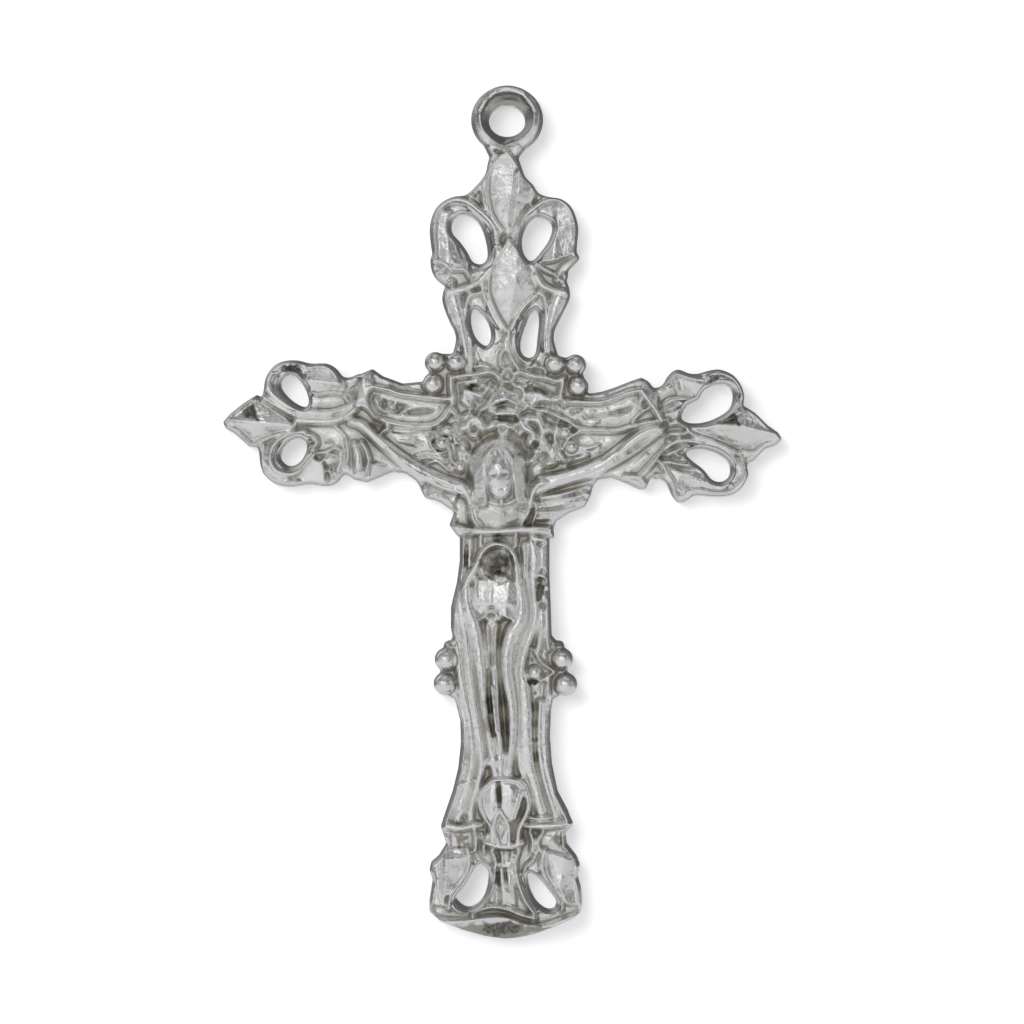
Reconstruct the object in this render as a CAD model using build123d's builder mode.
"""A small ornate crucifix pendant: a flat-backed pierced cross with an eye to hang it by.

The frame is the pendant hanging: +Z runs up the post, +X to the right of someone who
looks at the figure, and the figure faces -Y. The origin is the middle of the eye's bore.
Sizes are in millimetres, outline points are (x, z), and a height is a distance in front
of the flat back.
"""

import os

from build123d import *

# Driving dimensions
EYE_THICKNESS = 2.0  # front to back; the flat back of the pendant is level with the eye's back
EYE_OUTER_R = 1.8
EYE_BORE_R = 0.9
EYE_DISH_R = 1.4  # the eye's front is dished from this radius down to the bore
EYE_DISH_DEPTH = 0.7
EYE_BACK_CHAMFER = 0.2

GROUND = 1.2  # height of the plates that carry the relief
LEAF = 1.6  # height of the pierced leaves and the struts
STEM = 1.75
COLLAR = 1.9
PETAL_EDGE = 1.35
PETAL_RIDGE = 2.0
RIM = 1.65
RIM_WIDTH = 0.34
FOLD = 1.8
FOLD_WIDTH = 0.5
EDGE = 0.12  # chamfer on the front edge of a plate
REACH = 120  # wider than anything here

BEAD_R = 0.48
SMALL_BEAD_R = 0.38
BEAD_SEAT = 0.2  # how far a bead's middle stands over its plate

ARM = 2.4
LEG = 2.5
CHEST = 2.7
BELLY = 2.9
CLOTH = 2.75
HEAD = 3.6
HEAD_MIDDLE = (-0.47, -18.6)
HEAD_HALF_WIDTH = 1.45
HEAD_HALF_LENGTH = 1.8
HEAD_HALF_DEPTH = 1.5

back = EYE_THICKNESS / 2


def level(height):
    """The plane parallel to the back at a height in front of it."""
    return Plane.XZ.offset(height - back)


def largest(piece):
    """The biggest solid of a part, without the slivers that its neighbours may have left."""
    return piece.part.solids().sort_by(SortBy.VOLUME)[-1]


# All the room from the back to the plates' front, which the rounded relief is cut off at
with BuildPart() as plate_room:
    with BuildSketch(level(0)):
        Rectangle(REACH, REACH)
    extrude(amount=GROUND)


def plate(outline, height, eye=None, around=(), base=0, smooth=True):
    """A plate with a chamfered front edge, an oval eye if it has one, and room for its neighbours.

    The outline is a curve that a straight root closes, or a polygon where smooth is False. The
    eye is its middle, its two half axes and its turn. Around lists the solids that the plate
    lies against.
    """
    with BuildPart() as piece:
        with BuildSketch(level(base)):
            with BuildLine():
                if smooth:
                    Spline(*outline)
                    Line(outline[-1], outline[0])
                else:
                    Polyline(*outline, close=True)
            make_face()
            if eye:
                middle, half_long, half_short, turn = eye
                with Locations(middle):
                    Ellipse(half_long, half_short, rotation=turn, mode=Mode.SUBTRACT)
        extrude(amount=height - base)
        chamfer(piece.faces().sort_by(Axis.Y)[0].edges(), length=EDGE)
        for neighbour in around:
            add(neighbour, mode=Mode.SUBTRACT)
    return largest(piece)


def petal(tip, left, root, right, around=()):
    """A four-cornered petal of two flat facets that meet in a ridge from its tip to its root."""
    ridge = Vector(root[0] - tip[0], 0, root[1] - tip[1]).normalized()
    across = ridge.cross(Vector(0, 1, 0))
    reach = [abs(Vector(side[0] - tip[0], 0, side[1] - tip[1]).dot(across)) for side in (left, right)]
    with BuildPart() as piece:
        with BuildSketch(level(0)):
            with BuildLine():
                Polyline(tip, left, root, right, close=True)
            make_face()
        extrude(amount=PETAL_RIDGE)
        for side in (1, -1):
            facing = across * side * (PETAL_RIDGE - PETAL_EDGE) + Vector(0, -1, 0) * max(reach)
            facet = Plane(origin=(tip[0], back - PETAL_RIDGE, tip[1]), x_dir=ridge, z_dir=facing)
            split(bisect_by=facet, keep=Keep.BOTTOM)
        for neighbour in around:
            add(neighbour, mode=Mode.SUBTRACT)
    return largest(piece)


def rail(route, height, width, around=(), base=GROUND):
    """A raised strip of even width along a smooth route, standing on the plate below it."""
    with BuildPart() as piece:
        with BuildSketch(level(base)):
            with BuildLine():
                Spline(*route)
            trace(line_width=width)
        extrude(amount=height - base)
        for neighbour in around:
            add(neighbour, mode=Mode.SUBTRACT)
    return largest(piece)


def beads(middles, radius=BEAD_R, around=()):
    """Round grains on a plate, each with a flat where it is seated."""
    with BuildPart() as grain:
        with Locations((0, back - GROUND - BEAD_SEAT, 0)):
            Sphere(radius, rotation=(90, 0, 0))
        add(plate_room.part, mode=Mode.SUBTRACT)
    with BuildPart() as grains:
        for x, z in middles:
            with Locations((x, 0, z)):
                add(grain.part)
        for neighbour in around:
            add(neighbour, mode=Mode.SUBTRACT)
    return grains.part


def limb(stations, around=()):
    """A rounded limb through stations of (x, z, half width, height), flat where it lies on its plate."""
    first, last = stations[0], stations[-1]
    run = Vector(last[0] - first[0], 0, last[1] - first[1])
    with BuildPart() as piece:
        for x, z, half_width, height in stations:
            with BuildSketch(Plane(origin=(x, back - GROUND, z), x_dir=(0, 1, 0), z_dir=run)):
                Ellipse(height - GROUND, half_width)
        loft()
        add(plate_room.part, mode=Mode.SUBTRACT)
        for neighbour in around:
            add(neighbour, mode=Mode.SUBTRACT)
    return largest(piece)


def eyelet():
    """The hanging eye: a thick ring, dished in front, on a short neck."""
    with BuildPart() as ring:
        with BuildSketch(level(0)):
            Circle(EYE_OUTER_R)
            with BuildLine():
                Polyline((-1.3, -0.9), (-1.0, -2.2), (0.8, -2.2), (1.2, -0.9), close=True)
            make_face()
        extrude(amount=EYE_THICKNESS)
        chamfer(ring.faces().sort_by(Axis.Y)[0].edges(), length=EDGE)
        with Locations(level(EYE_THICKNESS)):
            Hole(EYE_BORE_R, depth=EYE_THICKNESS)
        mouths = ring.edges().filter_by(GeomType.CIRCLE).filter_by(lambda e: e.radius < EYE_BORE_R + EDGE)
        dish = Vector(0, back - EYE_THICKNESS, 0)
        with BuildSketch(level(EYE_THICKNESS)):
            Circle(EYE_DISH_R)
        with BuildSketch(level(EYE_THICKNESS - EYE_DISH_DEPTH)):
            Circle(EYE_BORE_R)
        loft(mode=Mode.SUBTRACT)
        chamfer(mouths.sort_by(Axis.Y)[-1], length=EYE_BACK_CHAMFER)
    return ring.part


def head():
    """The head with its hair: an egg that stands off the plate."""
    with BuildPart() as egg:
        Sphere(1)
        scale(by=(HEAD_HALF_WIDTH, HEAD_HALF_DEPTH, HEAD_HALF_LENGTH))
    with BuildPart() as seated:
        with Locations((HEAD_MIDDLE[0], back - HEAD + HEAD_HALF_DEPTH, HEAD_MIDDLE[1])):
            add(egg.part)
        add(plate_room.part, mode=Mode.SUBTRACT)
    return largest(seated)


made = {}

# The hanging eye and the top end: two petals on the middle line, a pierced leaf and a strut on each side
made["eyelet"] = eyelet()
made["top_petal"] = petal((0.05, -1.9), (-1.0, -4.5), (0.1, -6.4), (1.35, -3.7), [made["eyelet"]])
made["top_lower_petal"] = petal((0.1, -6.4), (-0.9, -8.4), (0.1, -11.6), (1.55, -8.4))
top_middle = [made["eyelet"], made["top_petal"], made["top_lower_petal"]]
made["top_stem"] = plate(
    [(-0.35, -10.6), (0.5, -10.6), (0.55, -11.9), (1.2, -13.3), (-0.9, -13.3), (-0.3, -11.9)],
    STEM,
    around=[made["top_lower_petal"]],
    smooth=False,
)
made["top_leaf_left"] = plate(
    [(-0.2, -2.1), (-1.3, -3.2), (-2.3, -3.95), (-3.3, -4.3), (-3.95, -5.2), (-4.1, -6.7), (-3.9, -8.0)]
    + [(-3.2, -8.8), (-2.2, -8.95), (-1.1, -8.5), (-0.1, -6.8)],
    LEAF,
    eye=((-1.85, -6.3), 1.45, 0.55, -66),
    around=top_middle,
)
made["top_leaf_right"] = plate(
    [(0.3, -2.1), (1.1, -3.2), (1.75, -4.0), (2.8, -4.15), (3.6, -5.1), (3.75, -6.7), (3.8, -7.6)]
    + [(3.2, -8.6), (2.3, -8.9), (1.2, -8.6), (0.2, -6.6)],
    LEAF,
    eye=((1.65, -6.3), 1.25, 0.6, -108),
    around=top_middle,
)
made["top_strut_left"] = plate(
    [(-3.4, -8.6), (-3.1, -10.4), (-2.6, -11.7), (-2.6, -12.9), (-1.2, -13.1), (-1.9, -11.6), (-2.0, -10.4)]
    + [(-1.5, -8.6)],
    LEAF,
    smooth=False,
    around=[made["top_leaf_left"], made["top_lower_petal"], made["top_stem"]],
)
made["top_strut_right"] = plate(
    [(3.1, -8.4), (2.75, -10.5), (2.4, -11.9), (2.6, -12.9), (1.4, -13.1), (1.75, -11.6), (1.8, -10.4)]
    + [(1.5, -8.4)],
    LEAF,
    smooth=False,
    around=[made["top_leaf_right"], made["top_lower_petal"], made["top_stem"]],
)
top_struts = [made["top_strut_left"], made["top_strut_right"], made["top_stem"], made["top_lower_petal"]]

# The figure, its bar and its cloth, which the pieces below them are cut to
made["head"] = head()
made["chest_bar"] = limb([(-2.95, -21.65, 0.3, 1.9), (-0.2, -21.65, 0.33, 2.75), (2.85, -21.65, 0.3, 1.9)])
made["chest"] = limb(
    [(-0.45, -20.45, 1.5, 2.5), (-0.45, -21.1, 1.35, CHEST), (-0.45, -21.8, 1.1, CHEST)],
    around=[made["chest_bar"]],
)
made["belly"] = limb(
    [(-0.4, -21.5, 1.1, CHEST), (-0.42, -23.3, 1.0, BELLY), (-0.5, -24.6, 1.1, CHEST)],
    around=[made["chest_bar"], made["chest"]],
)
made["loincloth"] = limb(
    [(-0.5, -24.1, 1.25, 2.6), (-0.6, -25.2, 1.4, CLOTH), (-0.6, -26.4, 1.1, 2.6)],
    around=[made["belly"]],
)
made["legs"] = limb(
    [(-0.6, -26.2, 1.0, LEG), (-0.6, -29.5, 0.85, LEG), (-0.5, -32.0, 0.6, 2.3), (-0.45, -34.4, 0.42, 2.2)],
    around=[made["loincloth"]],
)
made["feet"] = limb(
    [(-0.45, -34.2, 0.45, 2.2), (-0.2, -35.6, 0.85, 2.6), (-0.1, -37.6, 0.6, 2.3)],
    around=[made["legs"]],
)
body = [made["head"], made["chest"], made["chest_bar"]]
made["arm_left"] = limb(
    [(-8.3, -16.0, 0.32, 2.2), (-5.6, -18.25, 0.38, ARM), (-3.0, -19.55, 0.42, ARM), (-1.4, -20.1, 0.5, ARM)],
    around=body,
)
made["arm_right"] = limb(
    [(8.4, -16.3, 0.32, 2.2), (5.6, -18.3, 0.38, ARM), (2.5, -19.45, 0.42, ARM), (0.6, -20.1, 0.5, ARM)],
    around=body,
)
arms = [made["arm_left"], made["arm_right"]]

# The crossing and the two arms of the cross
crossing = [(-4.45, -12.5), (-3.3, -12.3), (-2.1, -12.6), (-0.6, -13.1), (0.9, -13.0), (2.1, -12.5)]
crossing += [(3.6, -12.5), (4.35, -13.6), (4.2, -15.0), (4.2, -19.0), (4.4, -20.4), (3.0, -21.2)]
crossing += [(2.7, -22.0), (-2.8, -22.0), (-3.0, -20.7), (-4.3, -20.2), (-4.3, -18.5), (-4.3, -14.6)]
made["crossing_plate"] = plate(crossing, GROUND, around=top_struts, smooth=False)
made["collar_left"] = plate(
    [(-7.4, -13.1), (-6.75, -13.5), (-6.95, -16.2), (-6.7, -18.8), (-7.45, -19.3), (-8.3, -18.6)]
    + [(-8.2, -16.9), (-7.9, -15.9), (-8.3, -14.2)],
    COLLAR,
    around=arms,
    smooth=False,
)
made["collar_right"] = plate(
    [(7.2, -13.5), (7.9, -14.3), (7.6, -15.9), (7.9, -17.2), (8.1, -19.2), (7.4, -19.6)]
    + [(6.5, -18.9), (6.7, -16.4), (6.6, -14.2)],
    COLLAR,
    around=arms,
    smooth=False,
)
made["beam_left"] = plate(
    [(-7.3, -13.5), (-6.3, -13.7), (-5.2, -14.0), (-4.1, -13.9), (-4.1, -19.5), (-5.1, -18.8), (-7.3, -18.9)],
    GROUND,
    around=[made["collar_left"], made["crossing_plate"]],
    smooth=False,
)
made["beam_right"] = plate(
    [(7.2, -13.8), (5.9, -14.3), (4.9, -14.5), (4.0, -14.0), (4.0, -19.2), (5.4, -18.8), (7.2, -19.4)],
    GROUND,
    around=[made["collar_right"], made["crossing_plate"]],
    smooth=False,
)
made["beam_rim_upper_left"] = rail(
    [(-6.8, -14.0), (-5.6, -14.35), (-4.3, -14.35), (-3.3, -14.9)], RIM, RIM_WIDTH, [made["collar_left"]]
)
made["beam_rim_lower_left"] = rail(
    [(-7.1, -15.7), (-5.8, -16.2), (-4.4, -16.2), (-3.0, -15.9)], RIM, RIM_WIDTH, arms + [made["collar_left"]]
)
made["beam_rim_upper_right"] = rail(
    [(6.8, -14.2), (5.9, -14.6), (4.8, -14.8), (3.4, -14.7)], RIM, RIM_WIDTH, [made["collar_right"]]
)
made["beam_rim_lower_right"] = rail(
    [(7.0, -16.3), (5.8, -16.6), (4.4, -16.6), (3.0, -16.0)], RIM, RIM_WIDTH, arms + [made["collar_right"]]
)
rims = [made[name] for name in ("beam_rim_upper_left", "beam_rim_lower_left")]
rims += [made[name] for name in ("beam_rim_upper_right", "beam_rim_lower_right")]

# The relief of the crossing: an arched rim, a plain banner, a garland over the head, and grains
made["crossing_rim"] = rail(
    [(-2.9, -15.0), (-2.7, -13.8), (-1.6, -13.6), (0.1, -13.9), (1.4, -13.6), (2.7, -13.9), (3.0, -14.5)],
    RIM,
    RIM_WIDTH,
    top_struts + rims,
)
made["banner"] = plate(
    [(-1.5, -15.6), (-1.3, -15.0), (-0.1, -14.5), (1.2, -15.0), (1.7, -15.6), (0.1, -15.4)],
    FOLD,
    base=GROUND,
    smooth=False,
)
made["garland"] = plate(
    [(-2.3, -17.3), (-1.6, -16.2), (-0.6, -16.0), (0.6, -16.0), (1.8, -16.3), (2.3, -17.3)],
    FOLD,
    around=[made["head"]],
    base=GROUND,
)
made["grains_upper_left"] = beads([(-3.76, -12.85), (-2.75, -12.95), (-3.85, -13.95)], around=top_struts + rims)
made["grains_upper_right"] = beads([(2.65, -12.95), (3.65, -13.0), (3.75, -14.05)], around=top_struts + rims)
made["panel_grain_left"] = beads([(-3.4, -17.1)], SMALL_BEAD_R, around=arms + rims)
made["panel_grain_right"] = beads([(3.4, -17.3)], SMALL_BEAD_R, around=arms + rims)

# The two side ends: a petal, a stem and two pierced leaves behind each collar
made["left_petal"] = petal((-15.04, -16.0), (-13.2, -14.7), (-11.0, -16.2), (-13.4, -17.2))
made["left_stem"] = plate(
    [(-11.6, -15.9), (-8.0, -15.1), (-8.0, -16.6), (-11.6, -16.5)],
    STEM,
    around=[made["left_petal"], made["collar_left"], made["arm_left"]],
    smooth=False,
)
left_middle = [made["left_petal"], made["left_stem"], made["collar_left"], made["arm_left"]]
made["left_leaf_upper"] = plate(
    [(-12.7, -15.9), (-13.1, -14.6), (-12.8, -13.5), (-12.1, -12.8), (-11.2, -12.68), (-9.9, -12.85)]
    + [(-8.8, -13.4), (-7.8, -13.6), (-7.6, -16.0)],
    LEAF,
    eye=((-11.2, -14.35), 0.95, 0.55, -20),
    around=left_middle,
)
made["left_leaf_lower"] = plate(
    [(-12.7, -16.2), (-13.2, -17.3), (-13.0, -18.3), (-12.4, -19.1), (-11.5, -19.36), (-9.9, -19.25)]
    + [(-8.9, -18.9), (-7.8, -18.6), (-7.6, -16.3)],
    LEAF,
    eye=((-11.25, -17.75), 0.9, 0.5, 22),
    around=left_middle,
)
made["right_petal"] = petal((14.52, -16.8), (13.1, -17.8), (9.9, -16.45), (12.5, -15.1))
made["right_stem"] = plate(
    [(10.6, -16.1), (7.7, -15.4), (7.7, -17.0), (10.6, -16.8)],
    STEM,
    around=[made["right_petal"], made["collar_right"], made["arm_right"]],
    smooth=False,
)
right_middle = [made["right_petal"], made["right_stem"], made["collar_right"], made["arm_right"]]
made["right_leaf_upper"] = plate(
    [(12.3, -16.4), (12.6, -15.2), (12.5, -14.1), (11.9, -13.4), (11.1, -13.17), (9.7, -13.3)]
    + [(8.5, -13.45), (7.7, -14.2), (7.6, -16.2)],
    LEAF,
    eye=((10.75, -14.85), 1.25, 0.55, 28),
    around=right_middle,
)
made["right_leaf_lower"] = plate(
    [(12.3, -16.7), (12.7, -17.9), (12.5, -18.9), (12.0, -19.5), (11.2, -19.78), (10.0, -19.8)]
    + [(8.9, -19.9), (7.9, -19.1), (7.6, -16.6)],
    LEAF,
    eye=((10.6, -18.2), 1.2, 0.55, -30),
    around=right_middle,
)

# The post: its plate, a rim and a fold of drapery on each side, and grains
post = [(-2.6, -21.9), (-2.5, -23.3), (-2.9, -25.9), (-2.95, -27.4), (-3.75, -28.0), (-3.9, -30.0)]
post += [(-3.0, -30.6), (-2.5, -32.5), (-2.55, -34.3), (-3.4, -37.2), (3.4, -37.2), (2.4, -35.2), (2.25, -32.0)]
post += [(2.5, -30.6), (3.5, -30.1), (3.4, -28.0), (2.4, -27.4), (2.35, -25.4), (2.7, -24.0), (2.6, -21.9)]
made["post_plate"] = plate(post, GROUND, around=[made["crossing_plate"]], smooth=False)
made["post_rim_left"] = rail(
    [(-2.3, -22.2), (-2.45, -24.5), (-2.65, -27.2), (-2.6, -30.0), (-2.25, -32.5), (-2.4, -34.8), (-2.95, -36.9)],
    RIM,
    RIM_WIDTH,
    [made["chest_bar"]],
)
made["post_rim_right"] = rail(
    [(2.35, -22.2), (2.3, -24.5), (2.1, -27.2), (2.2, -30.0), (2.0, -32.5), (2.15, -34.8), (2.8, -36.9)],
    RIM,
    RIM_WIDTH,
    [made["chest_bar"]],
)
made["fold_left"] = rail(
    [(-2.0, -22.4), (-1.95, -25.0), (-1.85, -28.0), (-1.65, -31.0), (-1.5, -34.0), (-1.9, -36.8)],
    FOLD,
    FOLD_WIDTH,
    [made["chest_bar"], made["loincloth"], made["post_rim_left"]],
)
made["fold_right"] = rail(
    [(1.6, -22.4), (1.55, -25.0), (1.15, -28.0), (1.2, -31.0), (1.1, -34.0), (1.6, -36.8)],
    FOLD,
    FOLD_WIDTH,
    [made["chest_bar"], made["loincloth"], made["post_rim_right"]],
)
post_rims = [made["post_rim_left"], made["post_rim_right"]]
made["grains_lower_left"] = beads([(-3.25, -28.45), (-3.35, -29.65)], around=post_rims)
made["grains_lower_right"] = beads([(2.95, -28.45), (3.0, -29.7)], around=post_rims)

# The foot: a rest under the feet, a flared collar, two pierced leaves on a stem, and a cap
made["foot_rest"] = plate(
    [(-1.1, -37.3), (1.0, -37.3), (0.8, -38.0), (0.0, -38.35), (-0.9, -38.0)],
    2.1,
    around=[made["feet"]],
    base=GROUND,
    smooth=False,
)
made["foot_collar"] = plate(
    [(-3.5, -37.15), (3.5, -37.15), (3.1, -37.7), (3.1, -38.4), (-3.2, -38.4), (-3.3, -37.7)],
    GROUND,
    around=[made["post_plate"]],
    smooth=False,
)
made["foot_collar_rim_left"] = rail([(-3.2, -37.35), (-2.3, -37.5), (-1.5, -37.3)], RIM, RIM_WIDTH)
made["foot_collar_rim_right"] = rail([(3.2, -37.35), (2.3, -37.5), (1.4, -37.3)], RIM, RIM_WIDTH)
made["foot_stem"] = plate(
    [(-0.75, -38.4), (0.6, -38.4), (0.75, -40.3), (1.25, -41.9), (-1.2, -41.9), (-0.8, -40.3)],
    STEM,
    around=[made["foot_collar"], made["foot_rest"]],
    smooth=False,
)
made["foot_cap"] = plate(
    [(-3.9, -42.0), (-1.2, -41.8), (0.0, -42.0), (1.2, -41.9), (3.9, -41.9), (3.0, -42.6), (1.5, -43.1)]
    + [(-0.1, -43.24), (-1.7, -43.1), (-3.1, -42.6)],
    COLLAR,
    around=[made["foot_stem"]],
    smooth=False,
)
foot_middle = [made["foot_collar"], made["foot_rest"], made["foot_stem"], made["foot_cap"]]
made["foot_leaf_left"] = plate(
    [(-0.5, -37.9), (-3.2, -37.9), (-3.5, -38.8), (-4.05, -39.3), (-4.0, -40.3), (-4.15, -41.3)]
    + [(-3.8, -42.2), (-2.5, -42.5), (-0.7, -42.3)],
    LEAF,
    smooth=False,
    eye=((-1.85, -40.4), 1.1, 0.5, 62),
    around=foot_middle,
)
made["foot_leaf_right"] = plate(
    [(0.5, -37.9), (3.1, -37.9), (3.5, -38.8), (3.9, -39.3), (3.8, -40.3), (4.0, -41.2)]
    + [(3.7, -42.1), (2.5, -42.5), (0.7, -42.3)],
    LEAF,
    smooth=False,
    eye=((1.9, -40.5), 1.1, 0.5, -62),
    around=foot_middle,
)

os.makedirs("parts", exist_ok=True)
for name, shape in made.items():
    shape.label = name
    export_step(shape, f"parts/{name}.step")
